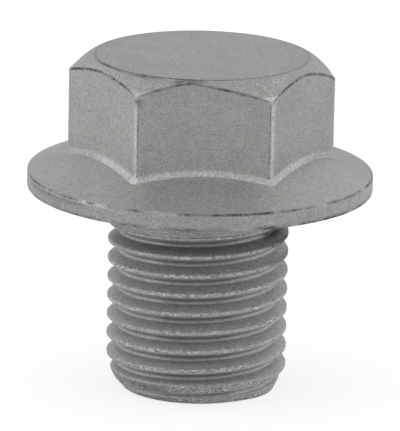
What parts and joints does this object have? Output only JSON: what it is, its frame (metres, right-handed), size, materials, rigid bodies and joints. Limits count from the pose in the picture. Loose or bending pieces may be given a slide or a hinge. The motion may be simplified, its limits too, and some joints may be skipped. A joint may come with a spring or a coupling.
{
  "type": "oil drain plug",
  "caption": "Hexagon-head drain plug with a round flange, a plain neck and a right-hand fine thread ending in a rounded, flat tip.",
  "frame": {"origin": "centre of the flange's sealing face, on the thread's axis", "axes": "+Z along the axis towards the head, a flat of the hexagon faces -Y"},
  "size_m": [0.0266, 0.0266, 0.0261],
  "materials": {
    "plated_steel": "matt grey zinc plating, worn bright on edges and thread crests"
  },
  "bodies": {
    "root": {"drain_plug": "plated_steel"}
  },
  "joints": []
}
